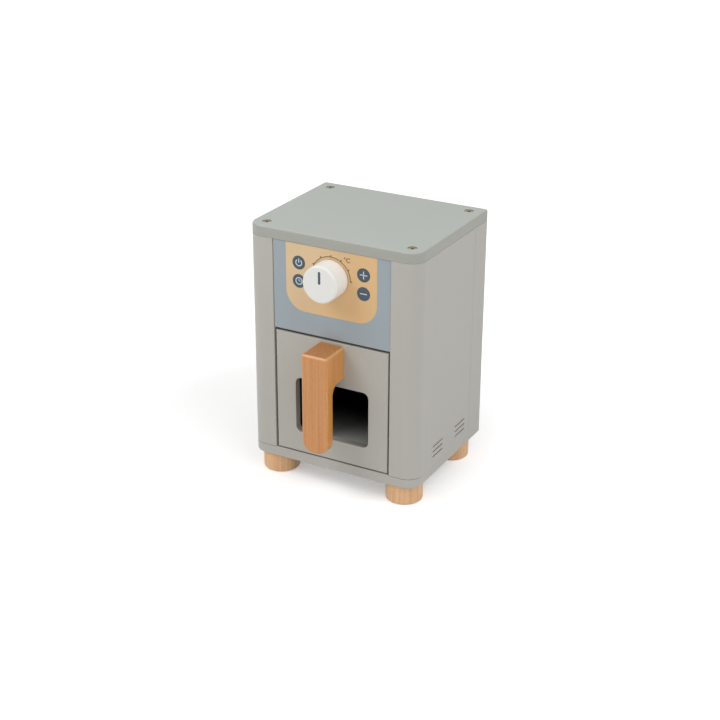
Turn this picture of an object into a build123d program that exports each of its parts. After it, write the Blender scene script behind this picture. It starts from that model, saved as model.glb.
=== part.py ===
from build123d import *
import os

# A child's play air fryer: a painted board cabinet on four turned feet, a drawer with a
# window and a beech handle that pulls out of its front, and a dial that turns in the panel above.
# Millimetres. X runs to the right, Y to the back, Z up, with the feet standing on Z = 0.
# X = 0 and Y = 0 are the middle of the whole toy, handle included.

# Cabinet
case_width = 180.0
case_depth = 147.3
wall_height = 215.8
board_thickness = 10.5
front_corner_radius = 14.8
rear_corner_radius = 3.0
board_edge_round = 1.8
board_seam_round = 0.4
post_width = 28.0
front_post_depth = 30.0
rear_post_depth = 28.0
post_edge_round = 0.6
side_panel_thickness = 9.0
rear_panel_thickness = 6.0
rear_rebate_width = 10.0
seam_round = 0.8

# Vent grooves low on each side
vent_length = 22.0
vent_width = 1.6
vent_depth = 2.5
vent_pitch = 5.3
vent_rows = 3
vent_lowest = 9.5
vent_front_inset = 48.2
vent_group_spacing = 49.2

# Feet
foot_height = 20.5
foot_radius = 18.1
foot_inset_side = 21.3
foot_inset_front = 20.8
foot_inset_rear = 23.5
foot_edge_round = 2.5

# Control panel, shelf behind it and dial
front_recess = 0.8
panel_height = 88.7
panel_thickness = 9.0
panel_edge_round = 0.6
shelf_thickness = 6.0
shelf_housing_depth = 3.0
dial_drop = 27.9
knob_radius = 17.8
knob_length = 21.2
knob_face_round = 1.8
knob_rear_round = 0.6
pointer_width = 2.6
pointer_length = 12.5
pointer_start = 0.6
pointer_depth = 0.5
axle_radius = 5.0
axle_socket_depth = 13.0
dial_washer_radius = 10.0
dial_washer_thickness = 1.5

# Drawer
drawer_side_gap = 1.8
drawer_top_gap = 2.3
drawer_bottom_gap = 0.9
drawer_front_thickness = 7.5
drawer_front_round = 0.8
drawer_side_thickness = 8.0
drawer_box_height = 76.0
drawer_box_inset = 1.0
drawer_base_thickness = 4.0
drawer_base_height = 4.0
base_groove_depth = 3.0
window_width = 78.7
window_height = 57.1
window_sill = 21.4
window_corner_radius = 6.0
window_edge_round = 0.7
guide_width = 12.0
guide_height = 14.0
stop_width = 16.0
stop_depth = 8.0
stop_height = 14.0
stop_inset = 14.2

# Handle
handle_width = 27.4
handle_reach = 33.2
handle_grip_thickness = 13.5
handle_arm_height = 33.7
handle_length = 100.5
handle_top_drop = 2.8
handle_tip_radius = 11.5
handle_inner_radius = 9.0
handle_edge_round = 3.0

# Fasteners and dowels
bolt_inset = 14.0
bolt_head_radius = 4.2
bolt_head_height = 3.0
bolt_head_sink = 0.6
bolt_shank_radius = 2.0
bolt_length = 24.0
bolt_socket_radius = 1.7
bolt_socket_depth = 1.8
insert_radius = 3.5
insert_length = 12.0
foot_bore_radius = 4.6
foot_bore_depth = 8.0
foot_screw_bite = 18.0
screw_head_radius = 3.4
screw_shank_radius = 1.6
screw_slot_length = 2.2
screw_slot_width = 0.6
screw_slot_depth = 1.0
screw_dome_height = 1.7
screw_dome_round = 1.0
rear_screw_length = 18.0
rear_screw_inset = 25.0
guide_screw_length = 20.0
guide_screw_inset = 15.0
handle_screw_length = 24.0
handle_screw_spacing = 15.0
drawer_screw_length = 20.0
drawer_screw_inset = 16.0
dowel_radius = 2.5
panel_dowel_depth = 11.0
panel_dowel_inset = 15.0
side_dowel_board_depth = 7.0
side_dowel_panel_depth = 13.0
side_dowel_spacing = 18.0
drawer_dowel_radius = 2.0
drawer_dowel_front_depth = 5.0
drawer_dowel_side_depth = 14.0
drawer_dowel_inset = 14.0

# Clearances
fit_gap = 0.1
axle_gap = 0.08
running_gap = 0.3
guide_gap = 0.6

# Places worked out from the sizes above
handle_proud = handle_reach - front_recess
front_y = (handle_proud - case_depth) / 2
rear_y = front_y + case_depth
middle_y = (front_y + rear_y) / 2
side_x = case_width / 2
opening_half = side_x - post_width
side_inner_x = side_x - side_panel_thickness
floor_z = foot_height + board_thickness
ceiling_z = floor_z + wall_height
top_z = ceiling_z + board_thickness
recess_y = front_y + front_recess
front_post_rear_y = front_y + front_post_depth
rear_post_front_y = rear_y - rear_post_depth
rear_panel_y = rear_y - rear_panel_thickness
panel_bottom_z = ceiling_z - panel_height
panel_rear_y = recess_y + panel_thickness
dial_z = ceiling_z - dial_drop
knob_rear_y = recess_y - running_gap
knob_front_y = knob_rear_y - knob_length
axle_rear_y = panel_rear_y + running_gap
foot_x = side_x - foot_inset_side
foot_ys = (front_y + foot_inset_front, rear_y - foot_inset_rear)
bolt_x = side_x - bolt_inset
bolt_ys = (front_y + bolt_inset, rear_y - bolt_inset)
sides = (-1, 1)

drawer_front_half = opening_half - drawer_side_gap
drawer_front_low = floor_z + drawer_bottom_gap
drawer_front_high = panel_bottom_z - drawer_top_gap
drawer_front_rear_y = recess_y + drawer_front_thickness
drawer_box_half = drawer_front_half - drawer_box_inset
drawer_inner_half = drawer_box_half - drawer_side_thickness
drawer_low = floor_z + running_gap
drawer_high = drawer_low + drawer_box_height
drawer_rear_y = rear_panel_y - stop_depth - running_gap
drawer_back_y = drawer_rear_y - drawer_side_thickness
base_low = drawer_low + drawer_base_height
base_high = base_low + drawer_base_thickness

handle_high = drawer_front_high - handle_top_drop
handle_low = handle_high - handle_length
handle_arm_low = handle_high - handle_arm_height
handle_front_y = recess_y - handle_reach
handle_screw_zs = [handle_high - handle_arm_height / 2 + s * handle_screw_spacing / 2 for s in sides]

UP, DOWN = (0, 0, 1), (0, 0, -1)
BACK, FORWARD = (0, 1, 0), (0, -1, 0)


def block(x, y, z):
    """A square-edged piece between a low and a high limit along each axis."""
    size = Box(x[1] - x[0], y[1] - y[0], z[1] - z[0])
    return Pos((x[0] + x[1]) / 2, (y[0] + y[1]) / 2, (z[0] + z[1]) / 2) * size


def turned(start, direction, radius, length):
    """A round piece or hole that runs from a start point along a direction."""
    return Plane(origin=start, z_dir=direction) * Cylinder(
        radius, length, align=(Align.CENTER, Align.CENTER, Align.MIN)
    )


def mirrored(shape):
    """The same piece for the toy's left side."""
    return mirror(shape, about=Plane.YZ)


def group(solids):
    """Like pieces that share one name."""
    return Compound(children=list(solids))


def four_corners(x, ys):
    """The four places of feet or bolts, mirrored about the middle."""
    return [(s * x, y) for y in ys for s in sides]


def board(low_z, outer_end, seam_end):
    """A top or bottom board, with its outer edge rounded more than the edge that meets the walls."""
    made = block((-side_x, side_x), (front_y, rear_y), (low_z, low_z + board_thickness))
    corners = made.edges().filter_by(Axis.Z).group_by(Axis.Y)
    made = fillet(corners[0], front_corner_radius)
    made = fillet(made.edges().filter_by(Axis.Z).group_by(Axis.Y)[-1], rear_corner_radius)
    made = fillet(made.edges().group_by(Axis.Z)[outer_end], board_edge_round)
    return fillet(made.edges().group_by(Axis.Z)[seam_end], board_seam_round)


def side_dowel_places():
    """Upright dowels between the boards and the side panels."""
    x = side_x - side_panel_thickness / 2
    return [(s * x, middle_y + t * side_dowel_spacing / 2) for s in sides for t in sides]


def side_dowels(grown=0.0):
    """The upright dowels, or with grown the holes for them."""
    length = side_dowel_board_depth + side_dowel_panel_depth + 2 * grown
    made = []
    for x, y in side_dowel_places():
        low = floor_z - side_dowel_board_depth - grown
        made.append(turned((x, y, low), UP, dowel_radius + grown, length))
        high = ceiling_z + side_dowel_board_depth + grown
        made.append(turned((x, y, high), DOWN, dowel_radius + grown, length))
    return made


def panel_dowels(grown=0.0):
    """Dowels across the joints between the control panel and the front posts, or their holes."""
    y = recess_y + panel_thickness / 2
    heights = (panel_bottom_z + panel_dowel_inset, ceiling_z - panel_dowel_inset)
    length = 2 * (panel_dowel_depth + grown)
    made = []
    for s in sides:
        x = s * opening_half - length / 2
        made += [turned((x, y, z), (1, 0, 0), dowel_radius + grown, length) for z in heights]
    return made


def bolt_shanks(grown=0.0):
    """The shanks of the top bolts, or their holes."""
    low = top_z - bolt_head_sink - bolt_head_height - bolt_length - grown
    radius = bolt_shank_radius + grown
    return [turned((x, y, low), UP, radius, top_z - low) for x, y in four_corners(bolt_x, bolt_ys)]


def top_bolts():
    """Socket-head bolts that hold the top board down, sunk in round pockets."""
    head_top = top_z - bolt_head_sink
    length = bolt_head_height + bolt_length
    made = []
    for x, y in four_corners(bolt_x, bolt_ys):
        bolt = turned((x, y, head_top), DOWN, bolt_head_radius, bolt_head_height)
        bolt += turned((x, y, head_top), DOWN, bolt_shank_radius, length)
        socket = extrude(RegularPolygon(bolt_socket_radius, 6), -bolt_socket_depth)
        made.append(bolt - Pos(x, y, head_top) * socket)
    return group(made)


def post_inserts():
    """Threaded sleeves let into the tops of the posts, where the bolts screw in."""
    made = []
    for x, y in four_corners(bolt_x, bolt_ys):
        sleeve = turned((x, y, ceiling_z), DOWN, insert_radius, insert_length)
        made.append(sleeve - turned((x, y, ceiling_z), DOWN, bolt_shank_radius + fit_gap, insert_length))
    return group(made)


def foot_screw_solids(grown=0.0):
    """Screws up through the feet and the bottom board into the posts, or the holes for them."""
    head_low = foot_bore_depth - bolt_head_height
    high = floor_z + foot_screw_bite + grown
    made = []
    for x, y in four_corners(foot_x, foot_ys):
        screw = turned((x, y, head_low), UP, bolt_shank_radius + grown, high - head_low)
        if not grown:
            screw += turned((x, y, head_low), UP, bolt_head_radius, bolt_head_height)
            socket = extrude(RegularPolygon(bolt_socket_radius, 6), bolt_socket_depth)
            screw -= Pos(x, y, head_low) * socket
        made.append(screw)
    return made


def countersunk_screw(head, direction, length):
    """A wood screw whose flat head lies at a point, with a cross of two slots in it."""
    depth = screw_head_radius - screw_shank_radius
    place = Plane(origin=head, z_dir=direction)
    cone = Cone(screw_head_radius, screw_shank_radius, depth, align=(Align.CENTER, Align.CENTER, Align.MIN))
    shank = Cylinder(screw_shank_radius, length, align=(Align.CENTER, Align.CENTER, Align.MIN))
    made = cone + shank
    for turn in (0, 90):
        slot = Box(screw_slot_length, screw_slot_width, 2 * screw_slot_depth)
        made -= Rot(0, 0, turn) * slot
    return place * made


def countersunk_hole(head, direction, length):
    """The hole that takes such a screw, a fit's gap wider all round."""
    radius = screw_head_radius + fit_gap
    depth = screw_head_radius - screw_shank_radius
    align = (Align.CENTER, Align.CENTER, Align.MIN)
    made = Cone(radius, screw_shank_radius + fit_gap, depth, align=align)
    made += Cylinder(screw_shank_radius + fit_gap, length + fit_gap, align=align)
    return Plane(origin=head, z_dir=direction) * made


def rear_screw_places():
    """Two upright rows along the rear panel's edges."""
    x = opening_half + rear_rebate_width / 2
    rows = (floor_z + rear_screw_inset, (floor_z + ceiling_z) / 2, ceiling_z - rear_screw_inset)
    return [(s * x, rear_y, z) for s in sides for z in rows]


def guide_screw_places():
    """Two screws down through each drawer guide into the bottom board."""
    x = drawer_box_half + guide_gap + guide_width / 2
    ys = (front_post_rear_y + guide_screw_inset, rear_post_front_y - guide_screw_inset)
    return [(s * x, y, floor_z + guide_height) for s in sides for y in ys]


def cut(shape, tools):
    """The piece with each hole or pocket taken out of it."""
    for tool in tools:
        shape -= tool
    return shape


def bottom_board():
    """The lower board, drilled for the feet, the side dowels and the guides."""
    made = board(foot_height, 0, -1)
    holes = foot_screw_solids(fit_gap) + side_dowels(fit_gap)
    holes += [countersunk_hole(p, DOWN, guide_screw_length) for p in guide_screw_places()]
    return cut(made, holes)


def top_board():
    """The upper board, with a round pocket for each bolt head."""
    made = board(ceiling_z, -1, 0)
    pocket_radius = bolt_head_radius + running_gap
    pocket_depth = bolt_head_sink + bolt_head_height
    corners = four_corners(bolt_x, bolt_ys)
    pockets = [turned((x, y, top_z), DOWN, pocket_radius, pocket_depth) for x, y in corners]
    return cut(made, pockets + bolt_shanks(fit_gap) + side_dowels(fit_gap))


def insert_holes():
    """The drilled seats of the threaded sleeves."""
    return [
        turned((x, y, ceiling_z), DOWN, insert_radius + fit_gap, insert_length)
        for x, y in four_corners(bolt_x, bolt_ys)
    ]


def front_post():
    """The right front upright, with the case's big rounded corner."""
    made = block((opening_half, side_x), (front_y, front_post_rear_y), (floor_z, ceiling_z))
    front_edges = made.edges().filter_by(Axis.Z).group_by(Axis.Y)[0].sort_by(Axis.X)
    made = fillet(front_edges[-1], front_corner_radius)
    inner_edge = made.edges().filter_by(Axis.Z).sort_by(Axis.X)[:2].sort_by(Axis.Y)[0]
    made = fillet(inner_edge, post_edge_round)
    holes = bolt_shanks(fit_gap) + insert_holes() + foot_screw_solids(fit_gap)
    return cut(made, holes + panel_dowels(fit_gap))


def rear_post():
    """The right rear upright, rebated for the rear panel."""
    made = block((opening_half, side_x), (rear_post_front_y, rear_y), (floor_z, ceiling_z))
    outer_edges = made.edges().filter_by(Axis.Z).group_by(Axis.X)[-1].sort_by(Axis.Y)
    made = fillet(outer_edges[-1], rear_corner_radius)
    outer_front = made.edges().filter_by(Axis.Z).group_by(Axis.X)[-1].sort_by(Axis.Y)[0]
    made = fillet(outer_front, seam_round)
    rebate_edge = opening_half + rear_rebate_width
    made -= block((opening_half, rebate_edge), (rear_panel_y, rear_y), (floor_z, ceiling_z))
    screws = [countersunk_hole(p, FORWARD, rear_screw_length) for p in rear_screw_places()]
    return cut(made, bolt_shanks(fit_gap) + insert_holes() + foot_screw_solids(fit_gap) + screws)


def vent_grooves():
    """Two groups of short level grooves with round ends, milled in the side's outer face."""
    made = []
    first_y = front_y + vent_front_inset
    for y in (first_y, first_y + vent_group_spacing):
        for row in range(vent_rows):
            z = floor_z + vent_lowest + row * vent_pitch
            outline = Plane(origin=(side_x, y, z), x_dir=(0, 1, 0), z_dir=(-1, 0, 0))
            made.append(extrude(outline * SlotOverall(vent_length, vent_width), vent_depth))
    return made


def side_panel():
    """The right wall between the posts, with its vent grooves and a housing for the shelf."""
    made = block((side_inner_x, side_x), (front_post_rear_y, rear_post_front_y), (floor_z, ceiling_z))
    outer_rear = made.edges().filter_by(Axis.Z).group_by(Axis.X)[-1].sort_by(Axis.Y)[-1]
    made = fillet(outer_rear, seam_round)
    housing_x = (side_inner_x, side_inner_x + shelf_housing_depth)
    housing_y = (front_post_rear_y, rear_post_front_y)
    made -= block(housing_x, housing_y, (panel_bottom_z, panel_bottom_z + shelf_thickness))
    return cut(made, vent_grooves() + side_dowels(fit_gap))


def rear_panel():
    """The sheet that closes the back, let into the rear posts and screwed to them."""
    half = opening_half + rear_rebate_width
    made = block((-half, half), (rear_panel_y, rear_y), (floor_z, ceiling_z))
    return cut(made, [countersunk_hole(p, FORWARD, rear_screw_length) for p in rear_screw_places()])


def divider_shelf():
    """The shelf over the drawer, housed in the side panels and notched round the posts."""
    half = side_inner_x + shelf_housing_depth
    level = (panel_bottom_z, panel_bottom_z + shelf_thickness)
    made = block((-half, half), (panel_rear_y, rear_panel_y), level)
    for s in sides:
        notch_x = sorted((s * opening_half, s * side_x))
        made -= block(notch_x, (front_y, front_post_rear_y), level)
        made -= block(notch_x, (rear_post_front_y, rear_y), level)
    return made


def control_panel():
    """The upper front panel, nearly flush between the posts, with the dial's hole."""
    made = block((-opening_half, opening_half), (recess_y, panel_rear_y), (panel_bottom_z, ceiling_z))
    made = fillet(made.edges().group_by(Axis.Y)[0], panel_edge_round)
    hole = turned((0, recess_y, dial_z), BACK, axle_radius + axle_gap, panel_thickness)
    return cut(made, [hole] + panel_dowels(fit_gap))


def drawer_guide():
    """The right strip that steers the drawer, screwed to the bottom board."""
    inner = drawer_box_half + guide_gap
    span_y = (front_post_rear_y, rear_post_front_y)
    made = block((inner, inner + guide_width), span_y, (floor_z, floor_z + guide_height))
    return cut(made, [countersunk_hole(p, DOWN, guide_screw_length) for p in guide_screw_places()])


def drawer_stops():
    """Two blocks at the back that the closed drawer rests against."""
    made = []
    for s in sides:
        x = s * (drawer_box_half - stop_inset)
        span_x = (x - stop_width / 2, x + stop_width / 2)
        span_y = (rear_panel_y - stop_depth, rear_panel_y)
        made.append(block(span_x, span_y, (floor_z, floor_z + stop_height)))
    return group(made)


def foot(x, y):
    """One turned foot, bored from below for its screw."""
    made = turned((x, y, 0), UP, foot_radius, foot_height)
    made = fillet(made.edges().group_by(Axis.Z)[0], foot_edge_round)
    made -= turned((x, y, 0), UP, foot_bore_radius, foot_bore_depth)
    return made - turned((x, y, 0), UP, bolt_shank_radius + fit_gap, foot_height)


def dial_knob():
    """The white turned knob, with a soft front edge and a pointer cut in its face."""
    made = turned((0, knob_rear_y, dial_z), FORWARD, knob_radius, knob_length)
    made = fillet(made.edges().group_by(Axis.Y)[0], knob_face_round)
    made = fillet(made.edges().group_by(Axis.Y)[-1], knob_rear_round)
    pointer_z = dial_z + pointer_start + pointer_length / 2
    face = Plane(origin=(0, knob_front_y, pointer_z), x_dir=(0, 0, 1), z_dir=BACK)
    made -= extrude(face * SlotOverall(pointer_length, pointer_width), pointer_depth)
    return made - turned((0, knob_rear_y, dial_z), FORWARD, axle_radius, axle_socket_depth)


def dial_axle():
    """The wooden axle glued in the knob, which turns in the control panel."""
    length = axle_rear_y - knob_rear_y + axle_socket_depth
    made = turned((0, axle_rear_y, dial_z), FORWARD, axle_radius, length)
    pilot = turned((0, axle_rear_y, dial_z), FORWARD, screw_shank_radius + fit_gap, drawer_screw_length)
    return made - pilot


def dial_washer():
    """The washer behind the panel that keeps the dial from pulling out."""
    made = turned((0, axle_rear_y, dial_z), BACK, dial_washer_radius, dial_washer_thickness)
    return made - turned((0, axle_rear_y, dial_z), BACK, screw_shank_radius + fit_gap, dial_washer_thickness)


def round_head_screw(head, direction, length):
    """A screw with a round head that lies on a surface, its shank going in along a direction."""
    place = Plane(origin=head, z_dir=direction)
    dome = Cylinder(screw_head_radius, screw_dome_height, align=(Align.CENTER, Align.CENTER, Align.MAX))
    dome = fillet(dome.edges().group_by(Axis.Z)[0], screw_dome_round)
    made = dome + Cylinder(screw_shank_radius, length, align=(Align.CENTER, Align.CENTER, Align.MIN))
    for turn in (0, 90):
        slot = Box(screw_slot_length, screw_slot_width, 2 * screw_slot_depth)
        made -= Pos(0, 0, -screw_dome_height) * Rot(0, 0, turn) * slot
    return place * made


def dial_screw():
    """The screw that holds the washer on the axle's end."""
    head = (0, axle_rear_y + dial_washer_thickness, dial_z)
    return round_head_screw(head, FORWARD, drawer_screw_length)


def drawer_dowels(grown=0.0):
    """Dowels from the drawer's sides into its front, or their holes."""
    x = drawer_box_half - drawer_side_thickness / 2
    heights = (drawer_low + drawer_dowel_inset, drawer_high - drawer_dowel_inset)
    start = drawer_front_rear_y - drawer_dowel_front_depth - grown
    length = drawer_dowel_front_depth + drawer_dowel_side_depth + 2 * grown
    radius = drawer_dowel_radius + grown
    return [turned((s * x, start, z), BACK, radius, length) for s in sides for z in heights]


def drawer_screw_places():
    """Two screws through each drawer side into the end of its back."""
    heights = (drawer_low + drawer_screw_inset, drawer_high - drawer_screw_inset)
    y = drawer_rear_y - drawer_side_thickness / 2
    return [(s, (s * drawer_box_half, y, z)) for s in sides for z in heights]


def base_slot(x, y):
    """The groove that takes an edge of the drawer's base."""
    return block(x, y, (base_low, base_high + fit_gap))


def drawer_front():
    """The lower front panel with its window, nearly flush like the control panel."""
    across = (-drawer_front_half, drawer_front_half)
    made = block(across, (recess_y, drawer_front_rear_y), (drawer_front_low, drawer_front_high))
    made = fillet(made.edges().group_by(Axis.Y)[0], drawer_front_round)
    window_z = drawer_front_low + window_sill + window_height / 2
    place = Plane(origin=(0, recess_y, window_z), x_dir=(1, 0, 0), z_dir=FORWARD)
    outline = RectangleRounded(window_width, window_height, window_corner_radius)
    window = extrude(place * outline, -drawer_front_thickness)
    made -= window
    rim = [e for e in made.edges().group_by(Axis.Y)[0] if abs(e.center().X) < window_width / 2 + fit_gap]
    rim = [e for e in rim if abs(e.center().Z - window_z) < window_height / 2 + fit_gap]
    made = fillet(rim, window_edge_round)
    slot_reach = drawer_inner_half + base_groove_depth
    slot_y = (drawer_front_rear_y - base_groove_depth, drawer_front_rear_y)
    screws = [
        turned((0, recess_y, z), BACK, screw_shank_radius + fit_gap, drawer_front_thickness)
        for z in handle_screw_zs
    ]
    return cut(made, [base_slot((-slot_reach, slot_reach), slot_y)] + drawer_dowels(fit_gap) + screws)


def drawer_side():
    """The drawer's right side, grooved for the base."""
    across = (drawer_inner_half, drawer_box_half)
    made = block(across, (drawer_front_rear_y, drawer_rear_y), (drawer_low, drawer_high))
    groove_x = (drawer_inner_half, drawer_inner_half + base_groove_depth)
    groove_y = (drawer_front_rear_y, drawer_back_y + base_groove_depth)
    screws = [countersunk_hole(p, (-s, 0, 0), drawer_screw_length) for s, p in drawer_screw_places()]
    return cut(made, [base_slot(groove_x, groove_y)] + drawer_dowels(fit_gap) + screws)


def drawer_back():
    """The drawer's back, held between its sides."""
    across = (-drawer_inner_half, drawer_inner_half)
    made = block(across, (drawer_back_y, drawer_rear_y), (drawer_low, drawer_high))
    slot = base_slot(across, (drawer_back_y, drawer_back_y + base_groove_depth))
    screws = [countersunk_hole(p, (-s, 0, 0), drawer_screw_length) for s, p in drawer_screw_places()]
    return cut(made, [slot] + screws)


def drawer_base():
    """The drawer's floor, a thin sheet held in the grooves."""
    half = drawer_inner_half + base_groove_depth - fit_gap
    span_y = (drawer_front_rear_y - base_groove_depth + fit_gap, drawer_back_y + base_groove_depth - fit_gap)
    return block((-half, half), span_y, (base_low, base_high))


def drawer_handle():
    """The beech handle: an arm out from the drawer front, and a grip that hangs down from it."""
    grip_rear_y = handle_front_y + handle_grip_thickness
    corners = [
        (recess_y, handle_high),
        (handle_front_y, handle_high),
        (handle_front_y, handle_low),
        (grip_rear_y, handle_low),
        (grip_rear_y, handle_arm_low),
        (recess_y, handle_arm_low),
    ]
    outline = make_face(Polyline(*corners, close=True))
    made = extrude(Plane.YZ * outline, handle_width / 2, both=True)
    inner = made.edges().filter_by(Axis.X).filter_by_position(Axis.Y, grip_rear_y, grip_rear_y)
    made = fillet(inner.sort_by(Axis.Z)[-1], handle_inner_radius)
    made = fillet(made.edges().filter_by(Axis.Y).group_by(Axis.Z)[0], handle_tip_radius)
    rear = made.faces().sort_by(Axis.Y)[-1]
    rear_edges = rear.edges()
    rounded = [e for e in made.edges() if not any(e.is_same(r) for r in rear_edges)]
    made = fillet(rounded, handle_edge_round)
    pilots = [
        turned((0, recess_y, z), FORWARD, screw_shank_radius + fit_gap, handle_screw_length)
        for z in handle_screw_zs
    ]
    return cut(made, pilots)


def handle_screws():
    """Screws from inside the drawer, through its front and into the handle's arm."""
    length = drawer_front_thickness + handle_screw_length / 2
    return group(round_head_screw((0, drawer_front_rear_y, z), FORWARD, length) for z in handle_screw_zs)


right_front_post = front_post()
right_rear_post = rear_post()
right_side_panel = side_panel()
right_drawer_guide = drawer_guide()
drawer_right_side = drawer_side()

pieces = {
    "bottom_board": bottom_board(),
    "top_board": top_board(),
    "right_front_post": right_front_post,
    "left_front_post": mirrored(right_front_post),
    "right_rear_post": right_rear_post,
    "left_rear_post": mirrored(right_rear_post),
    "right_side_panel": right_side_panel,
    "left_side_panel": mirrored(right_side_panel),
    "rear_panel": rear_panel(),
    "divider_shelf": divider_shelf(),
    "control_panel": control_panel(),
    "right_drawer_guide": right_drawer_guide,
    "left_drawer_guide": mirrored(right_drawer_guide),
    "drawer_stops": drawer_stops(),
    "top_bolts": top_bolts(),
    "post_inserts": post_inserts(),
    "foot_screws": group(foot_screw_solids()),
    "rear_panel_screws": group(countersunk_screw(p, FORWARD, rear_screw_length) for p in rear_screw_places()),
    "guide_screws": group(countersunk_screw(p, DOWN, guide_screw_length) for p in guide_screw_places()),
    "panel_dowels": group(panel_dowels()),
    "side_dowels": group(side_dowels()),
    "dial_knob": dial_knob(),
    "dial_axle": dial_axle(),
    "dial_washer": dial_washer(),
    "dial_screw": dial_screw(),
    "drawer_front": drawer_front(),
    "drawer_right_side": drawer_right_side,
    "drawer_left_side": mirrored(drawer_right_side),
    "drawer_back": drawer_back(),
    "drawer_base": drawer_base(),
    "drawer_handle": drawer_handle(),
    "handle_screws": handle_screws(),
    "drawer_dowels": group(drawer_dowels()),
    "drawer_screws": group(
        countersunk_screw(p, (-s, 0, 0), drawer_screw_length) for s, p in drawer_screw_places()
    ),
}
foot_names = ("front_left_foot", "front_right_foot", "rear_left_foot", "rear_right_foot")
for name, (x, y) in zip(foot_names, four_corners(foot_x, foot_ys)):
    pieces[name] = foot(x, y)

os.makedirs("parts", exist_ok=True)
for name, shape in pieces.items():
    export_step(shape, f"parts/{name}.step")
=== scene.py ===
import math

import bmesh
import bpy
from mathutils import Matrix, Vector


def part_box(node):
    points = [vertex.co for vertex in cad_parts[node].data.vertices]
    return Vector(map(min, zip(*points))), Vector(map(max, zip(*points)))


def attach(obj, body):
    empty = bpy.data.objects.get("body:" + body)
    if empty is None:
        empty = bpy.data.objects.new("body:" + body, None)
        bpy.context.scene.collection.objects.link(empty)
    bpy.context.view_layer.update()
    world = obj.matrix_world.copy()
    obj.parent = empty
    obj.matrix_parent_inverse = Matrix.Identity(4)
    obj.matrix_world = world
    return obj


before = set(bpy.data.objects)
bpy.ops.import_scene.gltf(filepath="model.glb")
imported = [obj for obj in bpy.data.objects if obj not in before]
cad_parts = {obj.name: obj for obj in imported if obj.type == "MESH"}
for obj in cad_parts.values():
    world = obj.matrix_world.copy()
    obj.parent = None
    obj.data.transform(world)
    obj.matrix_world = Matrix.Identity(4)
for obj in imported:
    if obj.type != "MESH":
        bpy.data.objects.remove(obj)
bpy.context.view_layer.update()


# Cabinet
# Boards and posts of solid wood, glued and dowelled, then sprayed with a satin warm grey paint. The grain
# just shows through it. The edges are lighter, partly where the paint lies thinner and partly as a
# painted highlight, and seams, gaps and corners are darkened with painted shade. The top board is given a
# greener, paler grey than the posts, painted light standing in for cool light from above, and darker
# edges, a painted shade.

POST_GREY = (0.447, 0.434, 0.398, 1)
POST_EDGE = (0.500, 0.490, 0.456, 1)
# The top board's greener, paler grey: painted light, standing in for cool light from above.
BOARD_GREY_COOL_PAINTED_LIGHT = (0.448, 0.475, 0.438, 1)
BOARD_EDGE_COOL_PAINTED_LIGHT = (0.480, 0.505, 0.470, 1)
# Painted shade on the top board's edge faces.
BOARD_RIM_PAINTED_SHADE = (0.362, 0.366, 0.330, 1)
PAINT_ROUGHNESS = 0.48
PAINT_SPREAD = 0.10
PAINT_GLOSS = 0.4
PAINT_RELIEF = (0.00004, 0.35)
CLOUD_SCALE = 16.0
CLOUD_SHARE = 0.5
STREAK_SCALE = (420.0, 420.0, 9.0)
STREAK_SHARE = 0.5
STREAK_RISE = 0.5
STREAK_GRIT = 0.6
FINE_DETAIL = 3.0
PEEL_SCALE = 1500.0
PEEL_RISE = 0.7
ROUGHNESS_SWING = 0.8
# Painted shade in seams, gaps and corners, from ambient occlusion.
PAINTED_SHADE_REACH = 0.0020
PAINTED_SHADE_SAMPLES = 8
PAINTED_SHADE_RANGE = (0.10, 0.62)
SEAM_PAINTED_SHADE = 0.05
BOTTOM_SEAM_PAINTED_SHADE = 0.75
GROOVE_PAINTED_SHADE = (0.110, 0.105, 0.095, 1)
SEAM_HEIGHT = 0.0006
SEAM_FADE = (-0.040, -0.050)
OPENING_EDGE = (0.0615, 0.0625)
LEVEL_GRAIN = (0, math.radians(90), 0)
UPRIGHT_GRAIN = (0, 0, 0)
UP = (0, 0, 1)
BACK = (0, 1, 0)
EDGE_RADIUS = 0.0012
EDGE_SAMPLES = 6
EDGE_TURN = (0.995, 0.90)
EDGE_HIGHLIGHT_SHARE = 0.5
RIM_TURN = (0.85, 0.45)


def put(tree, kind, values=(), **settings):
    """Adds a node, sets its properties, and sets or wires its inputs, by name or by number."""
    made = tree.nodes.new(kind)
    for key, value in settings.items():
        setattr(made, key, value)
    for key, value in dict(values).items():
        if isinstance(value, bpy.types.NodeSocket):
            tree.links.new(value, made.inputs[key])
        else:
            made.inputs[key].default_value = value
    return made


def sums(tree, operation, first, second=0.0):
    """The result of one sum, as a socket."""
    return put(tree, "ShaderNodeMath", {0: first, 1: second}, operation=operation).outputs[0]


def blended(tree, first, first_share, second, second_share):
    """Two values added, each times its share."""
    weighed = sums(tree, "MULTIPLY", second, second_share)
    return sums(tree, "ADD", sums(tree, "MULTIPLY", first, first_share), weighed)


def ranged(tree, value, low, high, to_low=0.0, to_high=1.0):
    """A value spread from one range to another, with soft ends."""
    values = {"Value": value, "From Min": low, "From Max": high, "To Min": to_low, "To Max": to_high}
    return put(tree, "ShaderNodeMapRange", values, interpolation_type="SMOOTHSTEP").outputs[0]


def grey(tree, value):
    """A grey as bright as a value, as a colour."""
    return put(tree, "ShaderNodeCombineColor", {0: value, 1: value, 2: value}).outputs[0]


def mixed(tree, share, first, second, blend="MIX"):
    """Two colours mixed by a share."""
    values = {0: share, 6: first, 7: second}
    return put(tree, "ShaderNodeMix", values, data_type="RGBA", blend_type=blend).outputs[2]


def stretched(tree, vector, scale):
    """Coordinates multiplied along each axis."""
    return put(tree, "ShaderNodeVectorMath", {0: vector, 1: scale}, operation="MULTIPLY").outputs[0]


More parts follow.
